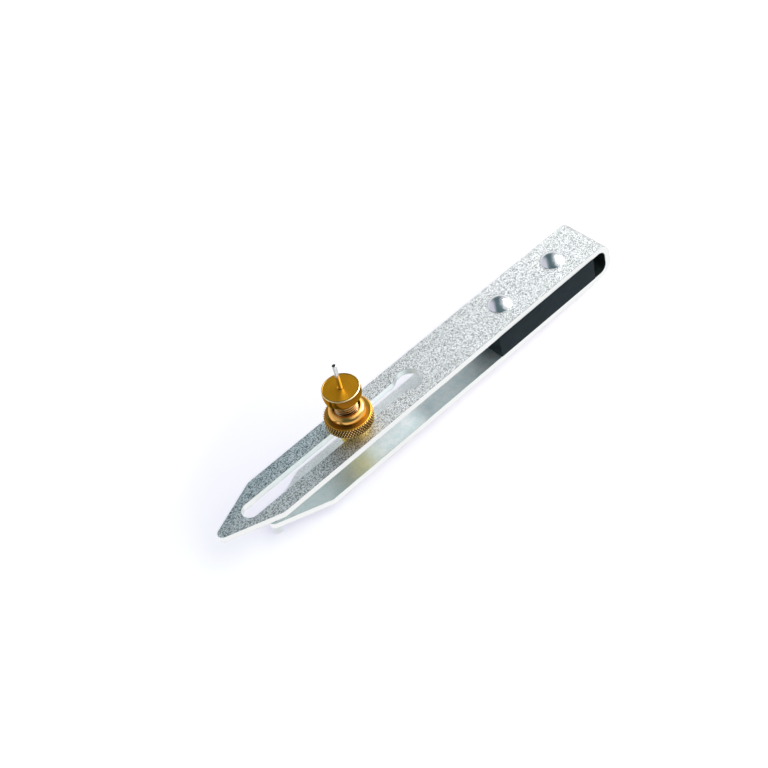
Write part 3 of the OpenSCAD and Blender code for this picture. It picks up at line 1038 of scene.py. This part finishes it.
strip = hairpin_strip()
block = spacer_block()
front_rivet = smooth_turned("front_rivet", rivet_section(), RIVET_XS[0])
rear_rivet = second_rivet(front_rivet)
tip_pin = smooth_turned("tip_pin", pin_section(), PIN_X)
washer_section = ring_section(WASHER_BORE_R, WASHER_R, UPPER_TOP + PRESS_GAP, NUT_Z)
foot_section = ring_section(FOOT_SPIGOT_R + PRESS_GAP, FOOT_R, FOOT_Z, UPPER_Z - PRESS_GAP)
washer = smooth_turned("brass_washer", washer_section, SCREW_X)
foot = smooth_turned("brass_foot", foot_section, SCREW_X)
needle = smooth_turned("steel_needle", needle_section(), SCREW_X)
screw = clamp_screw()

fit(strip, "frame_strip", "frame", STRIP_FINISH)
fit(block, "spacer_block", "frame", BLOCK_FINISH)
fit(front_rivet, "rivet_front", "frame", RIVET_FINISH)
fit(rear_rivet, "rivet_rear", "frame", RIVET_FINISH)
fit(tip_pin, "guide_pin", "frame", PIN_FINISH)
fit(washer, "clamp_washer", "carriage", BRASS_FINISH)
fit(knurled_nut(), "knurled_nut", "nut", BRASS_FINISH)
fit(screw, "clamp_screw", "screw", BRASS_FINISH)
fit(foot, "foot_ring", "screw", BRASS_FINISH)
fit(needle, "scribing_needle", "needle", NEEDLE_FINISH)

# The camera, fitted to the photograph's frame of 768 by 768
CAMERA_PLACE = (-0.209121, -0.319436, 0.42574)
CAMERA_TURN = (42.0285, 10.3821, -42.9146)
CAMERA_LENS = 76.832
CAMERA_SENSOR = 36
CAMERA_NEAR = 0.01

# Level directions across the camera's line, to its right, and away along it
ACROSS = (0.7324, -0.6809, 0)
AWAY = (0.6809, 0.7324, 0)

# The floor: how it glows to the camera near the part and far off, how it looks in reflections, and
# how it bounces light. The pool is the ellipse round the part that keeps more of its shadow.
FLOOR_SIZE = 8.0
FLOOR_GLOW = (0.31, 0.28, 0.46)
FLOOR_FAR_GLOW = (0.60, 0.60, 0.65)
FLOOR_SHADE = (1.0, 1.0, 0.80)
FLOOR_SHEEN = (1.0, 1.0, 1.0)
FLOOR_NEAR_SHEEN = (0.22, 0.25, 0.26)
FLOOR_BOUNCE = (0.85, 0.85, 0.85)
POOL_SHIFT = (0, -0.026, 0)
POOL_STRETCH = (0.62, 1.3, 0)
POOL_EDGE = (0.045, 0.085)
NEAR_SHEEN_EDGE = (-0.07, -0.2)

# The tent: pale walls either side of a dim gap over the part, paler near the floor. Each edge says
# between which shares of a direction one part fades into the next.
TENT_GAP = (0.10, 0.16, 0.175)
TENT_RIGHT = (0.62, 0.64, 0.66)
TENT_LEFT = (0.70, 0.70, 0.78)
TENT_FOOT = (0.82, 0.84, 0.86)
TENT_RIGHT_EDGE = (-0.12, 0.3)
TENT_RIGHT_NEAR_EDGE = (-0.45, 0.1)
TENT_LEFT_EDGE = (-0.37, -0.78)
TENT_FOOT_EDGE = (0.28, 0.08)
TENT_FOOT_NEAR_EDGE = (-0.75, -0.35)


def set_camera():
    """The camera at the photograph's place."""
    lens = bpy.data.cameras.new("camera")
    lens.lens = CAMERA_LENS
    lens.sensor_width = CAMERA_SENSOR
    lens.clip_start = CAMERA_NEAR
    camera = bpy.data.objects.new("camera", lens)
    camera.location = CAMERA_PLACE
    camera.rotation_euler = [math.radians(angle) for angle in CAMERA_TURN]
    bpy.context.scene.collection.objects.link(camera)
    bpy.context.scene.camera = camera


def glowing(tree, colour):
    """A plain glow of a colour."""
    return join_nodes(tree, "ShaderNodeEmission", {"Color": colour, "Strength": 1.0}).outputs[0]


def matt(tree, colour):
    """A matt surface of a colour."""
    return join_nodes(tree, "ShaderNodeBsdfDiffuse", {"Color": (*colour, 1)}).outputs[0]


def choose_shader(tree, share, first, second):
    """The first of two shaders, or the second where the share is 1."""
    return join_nodes(tree, "ShaderNodeMixShader", {0: share, 1: first, 2: second}).outputs[0]


def white_floor():
    """A floor that shows white with a faint shadow. In reflections it is white, and dim near the camera."""
    leave_edit()
    bpy.ops.mesh.primitive_plane_add(size=FLOOR_SIZE)
    floor = bpy.context.object
    floor.name = "floor"
    material = bpy.data.materials.new("white floor")
    material.use_nodes = True
    tree = material.node_tree
    tree.nodes.clear()
    path = join_nodes(tree, "ShaderNodeLightPath").outputs
    here = join_nodes(tree, "ShaderNodeTexCoord").outputs["Object"]
    pool = {"Vector": here, "Location": POOL_SHIFT, "Scale": POOL_STRETCH}
    drawn = join_nodes(tree, "ShaderNodeMapping", pool).outputs["Vector"]
    far_off = span(tree, vector_value(tree, "LENGTH", drawn), *POOL_EDGE)
    glow = glowing(tree, blend_colour(tree, far_off, FLOOR_GLOW, FLOOR_FAR_GLOW))
    seen = join_nodes(tree, "ShaderNodeAddShader", {0: glow, 1: matt(tree, FLOOR_SHADE)}).outputs[0]
    nearer = span(tree, vector_value(tree, "DOT_PRODUCT", here, AWAY), *NEAR_SHEEN_EDGE)
    sheen = glowing(tree, blend_colour(tree, nearer, FLOOR_SHEEN, FLOOR_NEAR_SHEEN))
    mirrored = math_node(tree, "MAXIMUM", path["Is Glossy Ray"], path["Is Transmission Ray"])
    unseen = choose_shader(tree, mirrored, matt(tree, FLOOR_BOUNCE), sheen)
    surface = choose_shader(tree, path["Is Camera Ray"], unseen, seen)
    join_nodes(tree, "ShaderNodeOutputMaterial", {"Surface": surface})
    floor.data.materials.append(material)
    return floor


def light_tent():
    """The tent round the table: pale to the right and left, dim between them, paler near the floor."""
    world = bpy.data.worlds.new("tent")
    world.use_nodes = True
    tree = world.node_tree
    view = join_nodes(tree, "ShaderNodeTexCoord").outputs["Generated"]
    rise = axes(tree, view)["Z"]
    across = vector_value(tree, "DOT_PRODUCT", view, ACROSS)
    away = vector_value(tree, "DOT_PRODUCT", view, AWAY)
    on_right = times(tree, span(tree, across, *TENT_RIGHT_EDGE), span(tree, away, *TENT_RIGHT_NEAR_EDGE))
    right = blend_colour(tree, on_right, TENT_GAP, TENT_RIGHT)
    walls = blend_colour(tree, span(tree, across, *TENT_LEFT_EDGE), right, TENT_LEFT)
    low_down = times(tree, span(tree, rise, *TENT_FOOT_EDGE), span(tree, away, *TENT_FOOT_NEAR_EDGE))
    feed(tree, tree.nodes["Background"].inputs["Color"], blend_colour(tree, low_down, walls, TENT_FOOT))
    bpy.context.scene.world = world


def softbox(name, azimuth, elevation, distance, wide, tall, glow):
    """A flat white lamp that faces the middle of the part, with a given glow on its face."""
    lamp = bpy.data.lights.new(name, "AREA")
    lamp.shape = "RECTANGLE"
    lamp.size = wide
    lamp.size_y = tall
    lamp.energy = glow * math.pi * wide * tall
    box = bpy.data.objects.new(name, lamp)
    turn = math.radians(azimuth)
    lift = math.radians(elevation)
    outwards = Vector((math.cos(turn) * math.cos(lift), math.sin(turn) * math.cos(lift), math.sin(lift)))
    box.location = outwards * distance
    box.rotation_euler = outwards.to_track_quat("Z", "Y").to_euler()
    box.visible_camera = False
    bpy.context.scene.collection.objects.link(box)
    return box


def keep_off(box, unlit_pieces):
    """Keeps a lamp's light off some pieces, as a flag in a studio does."""
    unlit = bpy.data.collections.new("flagged from " + box.name)
    for piece in unlit_pieces:
        unlit.objects.link(piece)
    for member in unlit.collection_objects:
        member.light_linking.link_state = "EXCLUDE"
    box.light_linking.receiver_collection = unlit


set_camera()
light_tent()
floor = white_floor()

# Four soft lamps: one behind the part, one behind it to the right that reaches only the clamp and the
# rivets, one to the right and one high above it
back_box = softbox("back softbox", azimuth=36, elevation=39, distance=0.30, wide=0.26, tall=0.26, glow=0.7)
keep_off(back_box, [floor, screw, front_rivet, rear_rivet])
rear_box = softbox("rear softbox", azimuth=-16, elevation=28, distance=0.36, wide=0.30, tall=0.26, glow=7.0)
keep_off(rear_box, [floor, strip, block, tip_pin])
softbox("right softbox", azimuth=-43, elevation=40, distance=0.5, wide=0.6, tall=0.5, glow=0.6)
top_box = softbox(
    "overhead softbox", azimuth=-31.6, elevation=57, distance=0.28, wide=1.257, tall=0.317, glow=0.8,
)
keep_off(top_box, [front_rivet, rear_rivet])
bpy.context.scene.view_settings.view_transform = "Standard"
